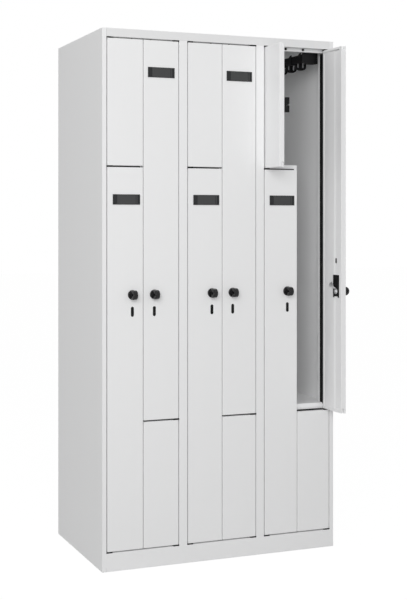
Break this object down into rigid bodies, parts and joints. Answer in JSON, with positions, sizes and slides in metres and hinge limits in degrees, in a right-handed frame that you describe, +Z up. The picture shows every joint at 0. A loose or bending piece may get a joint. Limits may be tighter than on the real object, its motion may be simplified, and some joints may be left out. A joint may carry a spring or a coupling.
{
  "type": "clothes locker",
  "caption": "Tall folded-steel clothes locker with interlocking Z-shaped compartments, each closed by a long and a short hinged leaf and a turning knob.",
  "frame": {"origin": "on the floor, in the middle of the width, halfway along the plinth's foot flange, 15 mm behind the front face", "axes": "+Z up, +X to the right as seen from the front, the front faces -Y"},
  "size_m": [0.9165, 0.6156, 1.85],
  "materials": {
    "coated_steel": "light grey powder coating, fine satin",
    "black_plastic": "moulded, fine matt",
    "label_grey": "anthracite, satin",
    "zinc_steel": "bright zinc plating"
  },
  "bodies": {
    "carcass": {"side_left": "coated_steel", "side_right": "coated_steel", "partition_1": "coated_steel", "partition_2": "coated_steel", "back_panel": "coated_steel", "top_panel": "coated_steel", "top_rail": "coated_steel", "plinth": "coated_steel", "floor_panel": "coated_steel", "shelf_1": "coated_steel", "shelf_2": "coated_steel", "shelf_3": "coated_steel", "ledge_1": "coated_steel", "ledge_2": "coated_steel", "ledge_3": "coated_steel", "upright_1": "coated_steel", "upright_2": "coated_steel", "upright_3": "coated_steel", "hook_rail_upper_1": "black_plastic", "hook_rail_upper_2": "black_plastic", "hook_rail_upper_3": "black_plastic", "hook_rail_lower_1": "black_plastic", "hook_rail_lower_2": "black_plastic", "hook_rail_lower_3": "black_plastic"},
    "upper_short_door_1": {"upper_short_leaf_1": "coated_steel", "catch_upper_1": "black_plastic"},
    "upper_short_door_2": {"upper_short_leaf_2": "coated_steel", "catch_upper_2": "black_plastic"},
    "upper_short_door_3": {"upper_short_leaf_3": "coated_steel", "catch_upper_3": "black_plastic"},
    "upper_long_door_1": {"upper_long_leaf_1": "coated_steel", "label_holder_upper_1": "label_grey"},
    "upper_long_door_2": {"upper_long_leaf_2": "coated_steel", "label_holder_upper_2": "label_grey"},
    "upper_long_door_3": {"upper_long_leaf_3": "coated_steel", "label_holder_upper_3": "label_grey"},
    "lower_long_door_1": {"lower_long_leaf_1": "coated_steel", "label_holder_lower_1": "label_grey"},
    "lower_long_door_2": {"lower_long_leaf_2": "coated_steel", "label_holder_lower_2": "label_grey"},
    "lower_long_door_3": {"lower_long_leaf_3": "coated_steel", "label_holder_lower_3": "label_grey"},
    "lower_short_door_1": {"lower_short_leaf_1": "coated_steel", "catch_lower_1": "black_plastic"},
    "lower_short_door_2": {"lower_short_leaf_2": "coated_steel", "catch_lower_2": "black_plastic"},
    "lower_short_door_3": {"lower_short_leaf_3": "coated_steel", "catch_lower_3": "black_plastic"},
    "upper_lock_1": {"knob_upper_1": "black_plastic", "cam_upper_1": "zinc_steel"},
    "upper_lock_2": {"knob_upper_2": "black_plastic", "cam_upper_2": "zinc_steel"},
    "upper_lock_3": {"knob_upper_3": "black_plastic", "cam_upper_3": "zinc_steel"},
    "lower_lock_1": {"knob_lower_1": "black_plastic", "cam_lower_1": "zinc_steel"},
    "lower_lock_2": {"knob_lower_2": "black_plastic", "cam_lower_2": "zinc_steel"},
    "lower_lock_3": {"knob_lower_3": "black_plastic", "cam_lower_3": "zinc_steel"}
  },
  "joints": [
    {"name": "upper_short_hinge_1", "type": "hinge", "parent": "carcass", "child": "upper_short_door_1", "pos_m": [-0.4235, -0.008, 1.5995], "axis": [0, 0, 1], "range_deg": [-95, 0]},
    {"name": "upper_short_hinge_2", "type": "hinge", "parent": "carcass", "child": "upper_short_door_2", "pos_m": [-0.1235, -0.008, 1.5995], "axis": [0, 0, 1], "range_deg": [-95, 0]},
    {"name": "upper_short_hinge_3", "type": "hinge", "parent": "carcass", "child": "upper_short_door_3", "pos_m": [0.1765, -0.008, 1.5995], "axis": [0, 0, 1], "range_deg": [-3, 92]},
    {"name": "upper_long_hinge_1", "type": "hinge", "parent": "carcass", "child": "upper_long_door_1", "pos_m": [-0.1765, -0.008, 1.1615], "axis": [0, 0, 1], "range_deg": [0, 95]},
    {"name": "upper_long_hinge_2", "type": "hinge", "parent": "carcass", "child": "upper_long_door_2", "pos_m": [0.1235, -0.008, 1.1615], "axis": [0, 0, 1], "range_deg": [0, 95]},
    {"name": "upper_long_hinge_3", "type": "hinge", "parent": "carcass", "child": "upper_long_door_3", "pos_m": [0.4235, -0.008, 1.1615], "axis": [0, 0, 1], "range_deg": [-90.5, 4.5]},
    {"name": "lower_long_hinge_1", "type": "hinge", "parent": "carcass", "child": "lower_long_door_1", "pos_m": [-0.4235, -0.008, 0.722], "axis": [0, 0, 1], "range_deg": [-95, 0]},
    {"name": "lower_long_hinge_2", "type": "hinge", "parent": "carcass", "child": "lower_long_door_2", "pos_m": [-0.1235, -0.008, 0.722], "axis": [0, 0, 1], "range_deg": [-95, 0]},
    {"name": "lower_long_hinge_3", "type": "hinge", "parent": "carcass", "child": "lower_long_door_3", "pos_m": [0.1765, -0.008, 0.722], "axis": [0, 0, 1], "range_deg": [-95, 0]},
    {"name": "lower_short_hinge_1", "type": "hinge", "parent": "carcass", "child": "lower_short_door_1", "pos_m": [-0.1765, -0.008, 0.284], "axis": [0, 0, 1], "range_deg": [0, 95]},
    {"name": "lower_short_hinge_2", "type": "hinge", "parent": "carcass", "child": "lower_short_door_2", "pos_m": [0.1235, -0.008, 0.284], "axis": [0, 0, 1], "range_deg": [0, 95]},
    {"name": "lower_short_hinge_3", "type": "hinge", "parent": "carcass", "child": "lower_short_door_3", "pos_m": [0.4235, -0.008, 0.284], "axis": [0, 0, 1], "range_deg": [0, 95]},
    {"name": "upper_knob_turn_1", "type": "hinge", "parent": "upper_long_door_1", "child": "upper_lock_1", "pos_m": [-0.2594, -0.015, 0.94], "axis": [0, -1, 0], "range_deg": [0, 90]},
    {"name": "upper_knob_turn_2", "type": "hinge", "parent": "upper_long_door_2", "child": "upper_lock_2", "pos_m": [0.0406, -0.015, 0.94], "axis": [0, -1, 0], "range_deg": [0, 90]},
    {"name": "upper_knob_turn_3", "type": "hinge", "parent": "upper_long_door_3", "child": "upper_lock_3", "pos_m": [0.43122, -0.09084, 0.94], "axis": [1, 0.0087, 0], "range_deg": [0, 90]},
    {"name": "lower_knob_turn_1", "type": "hinge", "parent": "lower_long_door_1", "child": "lower_lock_1", "pos_m": [-0.3406, -0.015, 0.94], "axis": [0, 1, 0], "range_deg": [0, 90]},
    {"name": "lower_knob_turn_2", "type": "hinge", "parent": "lower_long_door_2", "child": "lower_lock_2", "pos_m": [-0.0406, -0.015, 0.94], "axis": [0, 1, 0], "range_deg": [0, 90]},
    {"name": "lower_knob_turn_3", "type": "hinge", "parent": "lower_long_door_3", "child": "lower_lock_3", "pos_m": [0.2594, -0.015, 0.94], "axis": [0, 1, 0], "range_deg": [0, 90]}
  ]
}
